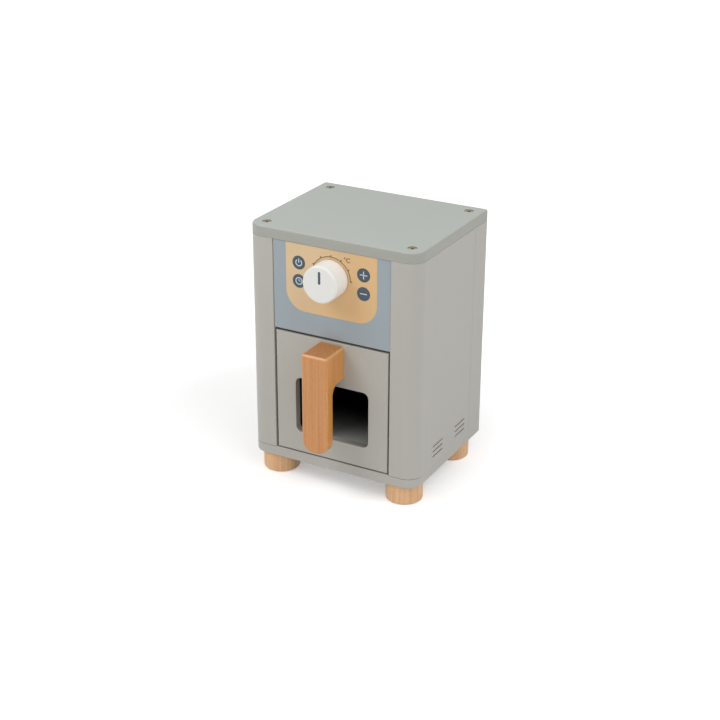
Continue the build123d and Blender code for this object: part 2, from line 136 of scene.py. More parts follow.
def noise(tree, vector, scale, detail=2.0, roughness=0.5):
    """Soft noise from 0 to 1."""
    values = {"Vector": vector, "Scale": scale, "Detail": detail, "Roughness": roughness}
    return put(tree, "ShaderNodeTexNoise", values).outputs["Fac"]


def new_effect(name, inputs, outputs):
    """An empty shader node group with its sockets, for an effect that several finishes share."""
    tree = bpy.data.node_groups.new(name, "ShaderNodeTree")
    for label, kind in inputs:
        tree.interface.new_socket(label, in_out="INPUT", socket_type=kind)
    for label, kind in outputs:
        tree.interface.new_socket(label, in_out="OUTPUT", socket_type=kind)
    return tree, tree.nodes.new("NodeGroupInput"), tree.nodes.new("NodeGroupOutput")


SURFACE = [("Colour", "NodeSocketColor"), ("Roughness", "NodeSocketFloat"), ("Height", "NodeSocketFloat")]


def edge_effect():
    """Where a surface turns a corner: 1 on edges, 0 on flat stretches."""
    inputs, outputs = [("Radius", "NodeSocketFloat")], [("Mask", "NodeSocketFloat")]
    tree, given, out = new_effect("Edges", inputs, outputs)
    rounded = put(tree, "ShaderNodeBevel", {"Radius": given.outputs["Radius"]}, samples=EDGE_SAMPLES)
    flat = tree.nodes.new("ShaderNodeNewGeometry")
    vectors = {0: rounded.outputs[0], 1: flat.outputs["Normal"]}
    turned = put(tree, "ShaderNodeVectorMath", vectors, operation="DOT_PRODUCT")
    tree.links.new(ranged(tree, turned.outputs["Value"], *EDGE_TURN), out.inputs["Mask"])
    return tree


def paint_effect():
    """Sprayed paint over wood: cloudy shade, faint streaks along the grain, and fine orange peel."""
    inputs = [("Vector", "NodeSocketVector"), ("Colour", "NodeSocketColor")]
    inputs += [("Spread", "NodeSocketFloat"), ("Roughness", "NodeSocketFloat")]
    tree, given, out = new_effect("Sprayed Paint", inputs, SURFACE)
    vector = given.outputs["Vector"]
    clouds = noise(tree, vector, CLOUD_SCALE, FINE_DETAIL)
    streaks = noise(tree, stretched(tree, vector, STREAK_SCALE), 1.0, FINE_DETAIL, STREAK_GRIT)
    peel = noise(tree, vector, PEEL_SCALE)
    uneven = blended(tree, clouds, CLOUD_SHARE, streaks, STREAK_SHARE)
    swing = sums(tree, "MULTIPLY", sums(tree, "SUBTRACT", uneven, 0.5), given.outputs["Spread"])
    shade = grey(tree, sums(tree, "ADD", swing, 1.0))
    tree.links.new(mixed(tree, 1.0, given.outputs["Colour"], shade, "MULTIPLY"), out.inputs["Colour"])
    rough = blended(tree, given.outputs["Roughness"], 1.0, swing, ROUGHNESS_SWING)
    tree.links.new(rough, out.inputs["Roughness"])
    tree.links.new(blended(tree, peel, PEEL_RISE, streaks, STREAK_RISE), out.inputs["Height"])
    return tree


def rim_effect():
    """The rim round an axis: 1 on faces that look away from it, 0 on those square across it."""
    inputs, outputs = [("Axis", "NodeSocketVector")], [("Mask", "NodeSocketFloat")]
    tree, given, out = new_effect("Rim", inputs, outputs)
    vectors = {0: tree.nodes.new("ShaderNodeTexCoord").outputs["Normal"], 1: given.outputs["Axis"]}
    aligned = put(tree, "ShaderNodeVectorMath", vectors, operation="DOT_PRODUCT").outputs["Value"]
    tree.links.new(ranged(tree, sums(tree, "ABSOLUTE", aligned), *RIM_TURN), out.inputs["Mask"])
    return tree


EDGES = edge_effect()
SPRAYED_PAINT = paint_effect()
RIM = rim_effect()


def blank_finish(name):
    """A new material, its node tree and its shader."""
    material = bpy.data.materials.new(name)
    material.use_nodes = True
    return material, material.node_tree, material.node_tree.nodes["Principled BSDF"]


def grain_coordinates(tree, turn, shift=(0, 0, 0)):
    """The piece's own coordinates, turned so that the grain runs along Z."""
    place = tree.nodes.new("ShaderNodeTexCoord").outputs["Object"]
    values = {"Vector": place, "Location": shift, "Rotation": turn}
    return put(tree, "ShaderNodeMapping", values).outputs[0]


def relief(tree, shader, height, depth, strength):
    """Wires a height to the shader as fine relief, its depth in metres."""
    bump = put(tree, "ShaderNodeBump", {"Height": height, "Distance": depth, "Strength": strength})
    tree.links.new(bump.outputs[0], shader.inputs["Normal"])


def paint(name, colour, edge_and_highlight_colour, turn, roughness=PAINT_ROUGHNESS, spread=PAINT_SPREAD, painted_rim_shading=None,
          axis=UP, gloss=PAINT_GLOSS, seam_painted_shade=SEAM_PAINTED_SHADE):
    """A satin sprayed paint: lighter on the edges, partly a painted highlight; painted shade in seams;
    painted light or shade on a rim.
    """
    material, tree, shader = blank_finish(name)
    ground = colour
    if painted_rim_shading:
        around = put(tree, "ShaderNodeGroup", {"Axis": axis}, node_tree=RIM)
        ground = mixed(tree, around.outputs["Mask"], colour, painted_rim_shading)
    values = {"Vector": grain_coordinates(tree, turn), "Colour": ground, "Spread": spread}
    coat = put(tree, "ShaderNodeGroup", {**values, "Roughness": roughness}, node_tree=SPRAYED_PAINT)
    # The edges are lighter: partly thinner paint, partly a painted highlight.
    edges = put(tree, "ShaderNodeGroup", {"Radius": EDGE_RADIUS}, node_tree=EDGES)
    share = sums(tree, "MULTIPLY", edges.outputs["Mask"], EDGE_HIGHLIGHT_SHARE)
    tone = mixed(tree, share, coat.outputs["Colour"], edge_and_highlight_colour)
    # Painted shade: ambient occlusion over a couple of millimetres darkens seams, gaps and corners.
    near = put(tree, "ShaderNodeAmbientOcclusion", {"Distance": PAINTED_SHADE_REACH}, samples=PAINTED_SHADE_SAMPLES)
    shade = grey(tree, ranged(tree, near.outputs["AO"], *PAINTED_SHADE_RANGE, seam_painted_shade, 1.0))
    tree.links.new(mixed(tree, 1.0, tone, shade, "MULTIPLY"), shader.inputs["Base Color"])
    tree.links.new(coat.outputs["Roughness"], shader.inputs["Roughness"])
    relief(tree, shader, coat.outputs["Height"], *PAINT_RELIEF)
    shader.inputs["Specular IOR Level"].default_value = gloss
    return material


def overlaid(material, share, colour):
    """Lays another colour over a finish, by a share worked out in the finish's own tree."""
    tree = material.node_tree
    ground = tree.nodes["Principled BSDF"].inputs["Base Color"]
    tree.links.new(mixed(tree, share, ground.links[0].from_socket, colour), ground)


def coordinate(material, axis):
    """How far a point of the piece lies along X, Y or Z, as a socket."""
    tree = material.node_tree
    place = tree.nodes.new("ShaderNodeTexCoord").outputs["Object"]
    return put(tree, "ShaderNodeSeparateXYZ", {0: place}).outputs[axis]


def dress(material, *names):
    """Gives CAD pieces a finish."""
    for name in names:
        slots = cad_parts[name].data.materials
        if not slots:
            slots.append(material)
        for i in range(len(slots)):
            slots[i] = material


upright_grey = paint("Upright Paint", POST_GREY, POST_EDGE, UPRIGHT_GRAIN)
# The top board carries painted cool light, and painted shade on its edges.
dress(paint("Top Board Paint", BOARD_GREY_COOL_PAINTED_LIGHT, BOARD_EDGE_COOL_PAINTED_LIGHT, LEVEL_GRAIN, painted_rim_shading=BOARD_RIM_PAINTED_SHADE), "top_board")
bottom_paint = paint("Bottom Board Paint", POST_GREY, POST_EDGE, LEVEL_GRAIN, seam_painted_shade=BOTTOM_SEAM_PAINTED_SHADE)
# Painted shade: a thin dark band along the top of the bottom board where it meets the posts, left out
# across the drawer opening and fading out towards the back.
board_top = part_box("bottom_board")[1].z
seam_rise = (board_top - SEAM_HEIGHT, board_top - SEAM_HEIGHT / 2)
bottom_tree = bottom_paint.node_tree
at_top = ranged(bottom_tree, coordinate(bottom_paint, "Z"), *seam_rise)
aside = sums(bottom_tree, "ABSOLUTE", coordinate(bottom_paint, "X"))
beside = ranged(bottom_tree, aside, *OPENING_EDGE)
forward = ranged(bottom_tree, coordinate(bottom_paint, "Y"), *SEAM_FADE)
in_groove_shade = sums(bottom_tree, "MULTIPLY", sums(bottom_tree, "MULTIPLY", at_top, beside), forward)
overlaid(bottom_paint, in_groove_shade, GROOVE_PAINTED_SHADE)
dress(bottom_paint, "bottom_board")
dress(upright_grey, "left_front_post", "right_front_post", "left_rear_post", "right_rear_post")
dress(upright_grey, "left_side_panel", "right_side_panel", "rear_panel")


# Feet
# Four short round feet turned from beech, their grain upright and a clear satin lacquer over it.
# Each is held by a screw up through its bore into the post above.

FOOT_BEECH = ((0.800, 0.495, 0.270, 1), (0.650, 0.360, 0.175, 1))
FOOT_PITH = (0.031, 0.027, 0.0)
FOOT_RINGS = 0.0035
BEECH_ROUGHNESS = 0.35
BEECH_GLOSS = 0.4
BEECH_RELIEF = (0.00006, 0.4)
LACQUER = 0.15
LACQUER_ROUGHNESS = 0.25
SWAY_SCALE = (14.0, 14.0, 3.0)
SWAY_REACH = (0.02, 0.02, 0.0)
RING_SHARPNESS = 2.5
RING_SHARE = 0.40
FIBRE_SCALE = (700.0, 700.0, 16.0)
FIBRE_SHARE = 0.70
FIBRE_GRIT = 0.62
FIBRE_ROUGHNESS = 0.14
FIBRE_RISE = 0.5
BAND_SCALE = (260.0, 260.0, 6.0)
BAND_RANGE = (0.3, 0.7)
BAND_SHARE = 0.55
LIGHT_SHARE = 0.30
PORE_SCALE = (1000.0, 1000.0, 170.0)
PORE_RANGE = (0.30, 0.16)
PORE_DARK = 0.20
PORE_SINK = 0.8
END_TURN = (0.80, 0.99)
END_DARK = 0.22
END_ROUGHNESS = 0.14
SHADE_WARMTH = 1.15
HIGHLIGHT_START = (0.15, 0.50)
HIGHLIGHT_END = (0.98, 0.85)
HIGHLIGHT_SHARE = 0.45


def beech_effect():
    """Beech from end to end: growth rings about a far centre, fibres, short dark pores, and end grain."""
    inputs = [("Vector", "NodeSocketVector"), ("Light", "NodeSocketColor"), ("Dark", "NodeSocketColor")]
    inputs += [("Ring Spacing", "NodeSocketFloat"), ("Along Grain", "NodeSocketVector")]
    tree, given, out = new_effect("Beech", inputs, SURFACE)
    vector = given.outputs["Vector"]
    sway_values = {"Vector": stretched(tree, vector, SWAY_SCALE), "Scale": 1.0, "Detail": 2.0}
    sway = put(tree, "ShaderNodeTexNoise", sway_values).outputs["Color"]
    centred = {0: sway, 1: (0.5, 0.5, 0.5)}
    sway = put(tree, "ShaderNodeVectorMath", centred, operation="SUBTRACT").outputs[0]
    swayed = put(tree, "ShaderNodeVectorMath", {0: stretched(tree, sway, SWAY_REACH), 1: vector})
    across = stretched(tree, swayed.outputs[0], (1.0, 1.0, 0.0))
    radius = put(tree, "ShaderNodeVectorMath", {0: across}, operation="LENGTH").outputs["Value"]
    phase = sums(tree, "FRACT", sums(tree, "DIVIDE", radius, given.outputs["Ring Spacing"]))
    rings = sums(tree, "POWER", phase, RING_SHARPNESS)
    fibres = noise(tree, stretched(tree, vector, FIBRE_SCALE), 1.0, FINE_DETAIL, FIBRE_GRIT)
    bands = noise(tree, stretched(tree, vector, BAND_SCALE), 1.0)
    pore_values = {"Vector": stretched(tree, vector, PORE_SCALE), "Scale": 1.0}
    cells = put(tree, "ShaderNodeTexVoronoi", pore_values)
    pores = ranged(tree, cells.outputs["Distance"], *PORE_RANGE)
    facing = tree.nodes.new("ShaderNodeTexCoord").outputs["Normal"]
    axis = {0: facing, 1: given.outputs["Along Grain"]}
    aligned = put(tree, "ShaderNodeVectorMath", axis, operation="DOT_PRODUCT").outputs["Value"]
    end = ranged(tree, sums(tree, "ABSOLUTE", aligned), *END_TURN)
    shade = blended(tree, rings, RING_SHARE, fibres, FIBRE_SHARE)
    shade = blended(tree, shade, 1.0, ranged(tree, bands, *BAND_RANGE), BAND_SHARE)
    shade = sums(tree, "SUBTRACT", shade, LIGHT_SHARE)
    timber = mixed(tree, shade, given.outputs["Light"], given.outputs["Dark"])
    keep = sums(tree, "SUBTRACT", 1.0, blended(tree, pores, PORE_DARK, end, END_DARK))
    blue = sums(tree, "POWER", keep, SHADE_WARMTH)
    warm = put(tree, "ShaderNodeCombineColor", {0: keep, 1: keep, 2: blue}).outputs[0]
    tree.links.new(mixed(tree, 1.0, timber, warm, "MULTIPLY"), out.inputs["Colour"])
    rough = blended(tree, fibres, FIBRE_ROUGHNESS, end, END_ROUGHNESS)
    tree.links.new(sums(tree, "ADD", rough, BEECH_ROUGHNESS), out.inputs["Roughness"])
    tree.links.new(blended(tree, fibres, FIBRE_RISE, pores, -PORE_SINK), out.inputs["Height"])
    return tree


BEECH = beech_effect()


def wood(name, colours, pith, ring_spacing, turn=UPRIGHT_GRAIN, grain=UP, coat=LACQUER, painted_flank_light=None,
         painted_highlight=None):
    """Lacquered or bare wood, cut off the log's centre; flanks may be painted lighter, upper edges given
    a painted highlight.
    """
    material, tree, shader = blank_finish(name)
    values = {"Vector": grain_coordinates(tree, turn, pith), "Light": colours[0], "Dark": colours[1]}
    values.update({"Ring Spacing": ring_spacing, "Along Grain": grain})
    timber = put(tree, "ShaderNodeGroup", values, node_tree=BEECH)
    colour = timber.outputs["Colour"]
    # Painted light: faces that look along X are made lighter and yellower.
    if painted_flank_light:
        away = put(tree, "ShaderNodeGroup", {"Axis": (1, 0, 0)}, node_tree=RIM).outputs["Mask"]
        colour = mixed(tree, 1.0, colour, mixed(tree, away, painted_flank_light, (1, 1, 1, 1)), "MULTIPLY")
    # Painted highlight on the upper rounded edges.
    if painted_highlight:
        facing = tree.nodes.new("ShaderNodeTexCoord").outputs["Normal"]
        upward = put(tree, "ShaderNodeSeparateXYZ", {0: facing}).outputs["Z"]
        not_level = ranged(tree, upward, *HIGHLIGHT_END)
        sloping = sums(tree, "MULTIPLY", ranged(tree, upward, *HIGHLIGHT_START), not_level)
        colour = mixed(tree, sums(tree, "MULTIPLY", sloping, HIGHLIGHT_SHARE), colour, painted_highlight)
    tree.links.new(colour, shader.inputs["Base Color"])
    tree.links.new(timber.outputs["Roughness"], shader.inputs["Roughness"])
    relief(tree, shader, timber.outputs["Height"], *BEECH_RELIEF)
    shader.inputs["Specular IOR Level"].default_value = BEECH_GLOSS
    shader.inputs["Coat Weight"].default_value = coat
    shader.inputs["Coat Roughness"].default_value = LACQUER_ROUGHNESS
    return material


foot_beech = wood("Foot Beech", FOOT_BEECH, FOOT_PITH, FOOT_RINGS)
dress(foot_beech, "front_left_foot", "front_right_foot", "rear_left_foot", "rear_right_foot")


# Shelf
# A thin board over the drawer, housed in the side panels. It is hidden behind the control panel
# and, like the inside of the drawer, coloured near black, a painted shade for the dark inside.

# Near black, darker than any stain: painted shade for the dark inside of the case and drawer.
SHADE_BLACK = (0.005, 0.0047, 0.0043, 1)
SHADE_BLACK_EDGE = (0.010, 0.009, 0.0085, 1)
SHADE_BLACK_FINISH = {"roughness": 0.62, "spread": 0.30, "gloss": 0.15}

dress(paint("Shelf Painted Shade", SHADE_BLACK, SHADE_BLACK_EDGE, LEVEL_GRAIN, **SHADE_BLACK_FINISH), "divider_shelf")


# Control panel
# The upper front board, nearly flush between the posts and dowelled to them, sprayed blue-grey.
# A peach field, four round symbols and the dial's scale are screen printed on it in thin ink.

PANEL_BLUE = (0.322, 0.370, 0.398, 1)
PANEL_EDGE = (0.375, 0.425, 0.460, 1)
PEACH = (0.750, 0.482, 0.227, 1)
PEACH_PAINTED_SHEEN = (0.735, 0.538, 0.322, 1)
SLATE = (0.062, 0.088, 0.112, 1)
PALE_INK = (0.660, 0.740, 0.780, 1)
SCALE_BROWN = (0.180, 0.105, 0.055, 1)
PANEL_PAINT = {"roughness": 0.45, "spread": 0.08}
INK_THICKNESS = 0.00005
INK_ROUGHNESS = 0.5
INK_GLOSS = 0.4
INK_RELIEF = (0.00002, 0.3)
MOTTLE_SCALE = 900.0
MOTTLE_SHARE = 0.3
WASH_SCALE = 40.0
WASH_SHARE = 0.7
INK_SWING = 0.12
SHEEN_SLOPE = (-1.0, 0.0, 0.5)
SHEEN_RANGE = (0.070, 0.150)
FIELD_HALF_WIDTH = 0.0478
FIELD_LOW = 0.1800
FIELD_TOP_GAP = 0.0006
FIELD_CORNER = 0.020
SYMBOL_X = 0.034
SYMBOL_Z = (0.2097, 0.2278)
DISC_RADIUS = 0.00675
DISC_SIDES = 64
STROKE = 0.0009
POWER_RADIUS = 0.0031
POWER_ARC = (130, 410)
POWER_BAR_RISE = 0.0020
POWER_BAR_LENGTH = 0.0040
TIMER_RADIUS = 0.0033
TIMER_ARC = (0, 359.9)
HOUR_RISE = 0.0008
HOUR_LENGTH = 0.0024
MINUTE_SHIFT = 0.0007
MINUTE_LENGTH = 0.0018
PLUS_LENGTH = 0.0076
MINUS_LENGTH = 0.0070
SCALE_RADIUS = 0.0204
SCALE_LINE = 0.0008
TICK_LENGTH = 0.0018
TICK_WIDTH = 0.0012
TICKS = 7
DEGREE_PLACE = (0.0168, 0.2388)
LETTER_HEIGHT = 0.0062
LETTER_SPREAD = 0.00008

panel_low, panel_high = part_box("control_panel")
panel_front = panel_low.y
second_layer = panel_front - 1.5 * INK_THICKNESS
knob_low, knob_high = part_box("dial_knob")
dial_z = (knob_low.z + knob_high.z) / 2
dress(paint("Panel Paint", PANEL_BLUE, PANEL_EDGE, UPRIGHT_GRAIN, **PANEL_PAINT), "control_panel")


def ink(name, colour, painted_sheen=None):
    """Screen-printed ink, mottled by its mesh, that may turn paler at the upper left, a painted sheen."""
    material, tree, shader = blank_finish(name)
    place = grain_coordinates(tree, UPRIGHT_GRAIN)
    mottle = noise(tree, place, MOTTLE_SCALE)
    wash = noise(tree, place, WASH_SCALE)
    ground = colour
    if painted_sheen:
        slope = {0: place, 1: SHEEN_SLOPE}
        across = put(tree, "ShaderNodeVectorMath", slope, operation="DOT_PRODUCT").outputs["Value"]
        ground = mixed(tree, ranged(tree, across, *SHEEN_RANGE), colour, painted_sheen)
    share = blended(tree, mottle, MOTTLE_SHARE, wash, WASH_SHARE)
    shade = grey(tree, sums(tree, "SUBTRACT", 1.0, sums(tree, "MULTIPLY", share, INK_SWING)))
    tree.links.new(mixed(tree, 1.0, ground, shade, "MULTIPLY"), shader.inputs["Base Color"])
    shader.inputs["Roughness"].default_value = INK_ROUGHNESS
    shader.inputs["Specular IOR Level"].default_value = INK_GLOSS
    relief(tree, shader, mottle, *INK_RELIEF)
    return material


def arc(centre, radius, start, end, steps=40):
    """Points along an arc, its angles in degrees."""
    turns = [math.radians(start + (end - start) * i / steps) for i in range(steps + 1)]
    return [(centre[0] + radius * math.cos(a), centre[1] + radius * math.sin(a)) for a in turns]


def bar(centre, length, width, turn=0.0):
    """The outline of a straight stroke with square ends."""
    ahead = Vector((math.cos(math.radians(turn)), math.sin(math.radians(turn))))
    side = Vector((-ahead.y, ahead.x))
    middle = Vector(centre)
    corners = ((-1, -1), (1, -1), (1, 1), (-1, 1))
    return [tuple(middle + ahead * (a * length / 2) + side * (b * width / 2)) for a, b in corners]


def ring_stroke(centre, radius, width, start, end):
    """The outline of a stroke that follows part of a circle."""
    outer = arc(centre, radius + width / 2, start, end)
    return outer + arc(centre, radius - width / 2, end, start)


def stand_up(mesh, front_y, x=0.0, z=0.0):
    """Turns a flat mesh from lying face up to standing face forward, at a depth."""
    mesh.transform(Matrix.Translation((x, front_y, z)) @ Matrix.Rotation(math.radians(90), 4, "X"))


def tidy_mesh(mesh):
    """Joins the doubled corners of a closed mesh and turns its faces outward."""
    work = bmesh.new()
    work.from_mesh(mesh)
    bmesh.ops.remove_doubles(work, verts=work.verts, dist=1e-7)
    bmesh.ops.recalc_face_normals(work, faces=work.faces)
    work.to_mesh(mesh)
    work.free()


def settle(name, mesh, material, body):
    """Makes a finished mesh a piece of the toy."""
    mesh.materials.clear()
    mesh.materials.append(material)
    piece = bpy.data.objects.new(name, mesh)
    bpy.context.scene.collection.objects.link(piece)
    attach(piece, body)
    return piece


def meshed(holder):
    """A plain mesh of what a holder object shows, and the holder is removed."""
    bpy.context.scene.collection.objects.link(holder)
    bpy.context.view_layer.update()
    mesh = bpy.data.meshes.new_from_object(holder.evaluated_get(bpy.context.evaluated_depsgraph_get()))
    bpy.data.objects.remove(holder)
    return mesh


def flat_piece(name, loops, back_y, thickness, material, body="root", slot="panel_paint"):
    """A thin flat piece that stands on its edge: closed outlines in X and Z, given a thickness."""
    curve = bpy.data.curves.new(name, "CURVE")
    curve.dimensions = "2D"
    curve.fill_mode = "BOTH"
    curve.extrude = thickness / 2
    for loop in loops:
        spline = curve.splines.new("POLY")
        spline.points.add(len(loop) - 1)
        for point, (x, z) in zip(spline.points, loop):
            point.co = (x, z, 0, 1)
        spline.use_cyclic_u = True
    mesh = meshed(bpy.data.objects.new(name, curve))
    tidy_mesh(mesh)
    stand_up(mesh, back_y - thickness / 2)
    return settle(name, mesh, material, body)


def printed(name, loops, layer, material):
    """A printed shape on the control panel, in the given layer of ink."""
    return flat_piece(name, loops, panel_front - layer * INK_THICKNESS, INK_THICKNESS, material)


def new_growth(name, inputs):
    """An empty geometry node tree with named inputs."""
    tree = bpy.data.node_groups.new(name, "GeometryNodeTree")
    for label, kind in inputs:
        tree.interface.new_socket(label, in_out="INPUT", socket_type=kind)
    tree.interface.new_socket("Geometry", in_out="OUTPUT", socket_type="NodeSocketGeometry")
    return tree, tree.nodes.new("NodeGroupInput"), tree.nodes.new("NodeGroupOutput")


def finish_growth(tree, out, geometry, material):
    """Ends a tree with real meshes that carry their finish."""
    real = put(tree, "GeometryNodeRealizeInstances", {0: geometry})
    painted = put(tree, "GeometryNodeSetMaterial", {0: real.outputs[0], "Material": material})
    tree.links.new(painted.outputs[0], out.inputs["Geometry"])


def grown(name, tree, sizes):
    """The plain mesh that a geometry node tree makes with the given sizes."""
    holder = bpy.data.objects.new(name, bpy.data.meshes.new(name))
    modifier = holder.modifiers.new("Growth", "NODES")
    modifier.node_group = tree
    for item in tree.interface.items_tree:
        if item.in_out == "INPUT":
            modifier[item.identifier] = sizes[item.name]
    return meshed(holder)


def tick_tree(material):
    """Short marks spaced evenly round half a circle, each pointing at its centre."""
    floats = [(label, "NodeSocketFloat") for label in ("Radius", "Length", "Width", "Thickness")]
    tree, given, out = new_growth("Dial Ticks", floats + [("Count", "NodeSocketInt")])
    size = given.outputs
    last = sums(tree, "SUBTRACT", size["Count"], 1.0)
    step = sums(tree, "DIVIDE", math.pi, last)
    turn = sums(tree, "MULTIPLY", tree.nodes.new("GeometryNodeInputIndex").outputs[0], step)
    reach = sums(tree, "ADD", size["Radius"], sums(tree, "MULTIPLY", size["Length"], 0.5))
    x = sums(tree, "MULTIPLY", sums(tree, "COSINE", turn), reach)
    y = sums(tree, "MULTIPLY", sums(tree, "SINE", turn), reach)
    spots = put(tree, "GeometryNodePoints", {"Count": size["Count"]})
    place = put(tree, "ShaderNodeCombineXYZ", {0: x, 1: y})
    placed = put(tree, "GeometryNodeSetPosition", {0: spots.outputs[0], "Position": place.outputs[0]})
    solid = put(tree, "ShaderNodeCombineXYZ", {0: size["Length"], 1: size["Width"], 2: size["Thickness"]})
    mark = put(tree, "GeometryNodeMeshCube", {"Size": solid.outputs[0]})
    spin = put(tree, "ShaderNodeCombineXYZ", {2: turn})
    euler = put(tree, "FunctionNodeEulerToRotation", {0: spin.outputs[0]})
    values = {"Points": placed.outputs[0], "Instance": mark.outputs[0], "Rotation": euler.outputs[0]}
    finish_growth(tree, out, put(tree, "GeometryNodeInstanceOnPoints", values).outputs[0], material)
    return tree


def disc_tree(material):
    """Four round discs at the corners of a rectangle."""
    floats = [(label, "NodeSocketFloat") for label in ("Across", "Up", "Radius", "Thickness")]
    tree, given, out = new_growth("Symbol Discs", floats)
    size = given.outputs
    corners = {"Size X": size["Across"], "Size Y": size["Up"], "Vertices X": 2, "Vertices Y": 2}
    spots = put(tree, "GeometryNodeMeshGrid", corners)
    shape = {"Vertices": DISC_SIDES, "Radius": size["Radius"], "Depth": size["Thickness"]}
    disc = put(tree, "GeometryNodeMeshCylinder", shape)
    values = {"Points": spots.outputs[0], "Instance": disc.outputs[0]}
    finish_growth(tree, out, put(tree, "GeometryNodeInstanceOnPoints", values).outputs[0], material)
    return tree


# The peach field turns paler towards the upper left: a painted sheen.
peach_ink = ink("Peach Ink", PEACH, PEACH_PAINTED_SHEEN)
slate_ink = ink("Slate Ink", SLATE)
pale_ink = ink("Pale Ink", PALE_INK)
brown_ink = ink("Brown Ink", SCALE_BROWN)

field_top = panel_high.z - FIELD_TOP_GAP
field = [(-FIELD_HALF_WIDTH, field_top)]
field += arc((-FIELD_HALF_WIDTH + FIELD_CORNER, FIELD_LOW + FIELD_CORNER), FIELD_CORNER, 180, 270)
field += arc((FIELD_HALF_WIDTH - FIELD_CORNER, FIELD_LOW + FIELD_CORNER), FIELD_CORNER, 270, 360)
field.append((FIELD_HALF_WIDTH, field_top))
printed("printed_field", [field], 0, peach_ink)

disc_sizes = {"Across": 2 * SYMBOL_X, "Up": SYMBOL_Z[1] - SYMBOL_Z[0], "Radius": DISC_RADIUS}
discs = grown("printed_discs", disc_tree(slate_ink), {**disc_sizes, "Thickness": INK_THICKNESS})
tidy_mesh(discs)
stand_up(discs, second_layer, 0.0, sum(SYMBOL_Z) / 2)
settle("printed_discs", discs, slate_ink, "root")

scale_centre = (0.0, dial_z)
printed("printed_scale_line", [ring_stroke(scale_centre, SCALE_RADIUS, SCALE_LINE, 0, 180)], 1, brown_ink)
tick_sizes = {"Radius": SCALE_RADIUS, "Length": TICK_LENGTH, "Width": TICK_WIDTH, "Count": TICKS}
ticks = grown("printed_ticks", tick_tree(brown_ink), {**tick_sizes, "Thickness": INK_THICKNESS})
tidy_mesh(ticks)
stand_up(ticks, second_layer, 0.0, dial_z)
settle("printed_ticks", ticks, brown_ink, "root")

power = (-SYMBOL_X, SYMBOL_Z[1])
timer = (-SYMBOL_X, SYMBOL_Z[0])
plus = (SYMBOL_X, SYMBOL_Z[1])
minus = (SYMBOL_X, SYMBOL_Z[0])
power_middle = (power[0], power[1] + POWER_BAR_RISE)
hour_middle = (timer[0], timer[1] + HOUR_RISE)
minute_middle = (timer[0] + MINUTE_SHIFT, timer[1])
printed("printed_power_ring", [ring_stroke(power, POWER_RADIUS, STROKE, *POWER_ARC)], 2, pale_ink)
printed("printed_power_bar", [bar(power_middle, POWER_BAR_LENGTH, STROKE, 90)], 2, pale_ink)
printed("printed_timer_ring", [ring_stroke(timer, TIMER_RADIUS, STROKE, *TIMER_ARC)], 2, pale_ink)
printed("printed_timer_hour", [bar(hour_middle, HOUR_LENGTH, STROKE, 90)], 2, pale_ink)
printed("printed_timer_minute", [bar(minute_middle, MINUTE_LENGTH, STROKE)], 2, pale_ink)
printed("printed_plus_level", [bar(plus, PLUS_LENGTH, STROKE)], 2, pale_ink)
printed("printed_plus_upright", [bar(plus, PLUS_LENGTH, STROKE, 90)], 2, pale_ink)
printed("printed_minus", [bar(minus, MINUS_LENGTH, STROKE)], 2, pale_ink)

degree_text = bpy.data.curves.new("Degree Sign", "FONT")
degree_text.body = "°C"
degree_text.size = LETTER_HEIGHT
degree_text.extrude = INK_THICKNESS / 2
degree_text.offset = LETTER_SPREAD
degree_text.align_x = "CENTER"
degree_text.align_y = "CENTER"
letters = meshed(bpy.data.objects.new("printed_degree_sign", degree_text))
tidy_mesh(letters)
stand_up(letters, second_layer, *DEGREE_PLACE)
settle("printed_degree_sign", letters, brown_ink, "root")


# Guides, stops and dowels
# Small strips and blocks of bare beech inside the case, and dowels in the joints of its boards.
# They are sanded and left without a finish.

BARE_BEECH = ((0.640, 0.455, 0.285, 1), (0.500, 0.330, 0.185, 1))
BARE_RINGS = 0.003
GUIDE_PITH = (0.04, 0.03, 0.0)
DOWEL_PITH = (0.02, 0.02, 0.0)
GUIDE_TURN = (math.radians(90), 0, 0)

guide_wood = wood("Guide Wood", BARE_BEECH, GUIDE_PITH, BARE_RINGS, GUIDE_TURN, BACK, coat=0.0)
dowel_wood = wood("Dowel Wood", BARE_BEECH, DOWEL_PITH, BARE_RINGS, coat=0.0)
dress(guide_wood, "left_drawer_guide", "right_drawer_guide", "drawer_stops")
dress(dowel_wood, "panel_dowels", "side_dowels", "drawer_dowels")


# Drawer
# A front board with a rounded window, painted like the cabinet, with painted shade on its edges and in
# its window, on a box of thin boards coloured near black as painted shade: two sides, a back between
# them, and a floor held in grooves, pale in front and darkening to near black at the back, a painted
# shade away from the window.

DRAWER_GREY = (0.440, 0.428, 0.386, 1)
DRAWER_EDGE = (0.490, 0.480, 0.440, 1)
# Painted shade on the drawer front's edges and in its window.
DRAWER_RIM_PAINTED_SHADE = (0.340, 0.322, 0.285, 1)
BASE_PALE = (0.520, 0.540, 0.500, 1)
BASE_EDGE = (0.540, 0.560, 0.520, 1)
BASE_PAINTED_SHADE_FADE = (-0.030, 0.045)
BASE_PAINT = {"roughness": 0.60, "spread": 0.20, "gloss": 0.2}

drawer_grey = paint("Drawer Paint", DRAWER_GREY, DRAWER_EDGE, UPRIGHT_GRAIN, painted_rim_shading=DRAWER_RIM_PAINTED_SHADE, axis=BACK)
box_painted_shade = paint("Drawer Box Painted Shade", SHADE_BLACK, SHADE_BLACK_EDGE, GUIDE_TURN, **SHADE_BLACK_FINISH)
base_pale = paint("Drawer Floor Paint", BASE_PALE, BASE_EDGE, GUIDE_TURN, **BASE_PAINT)
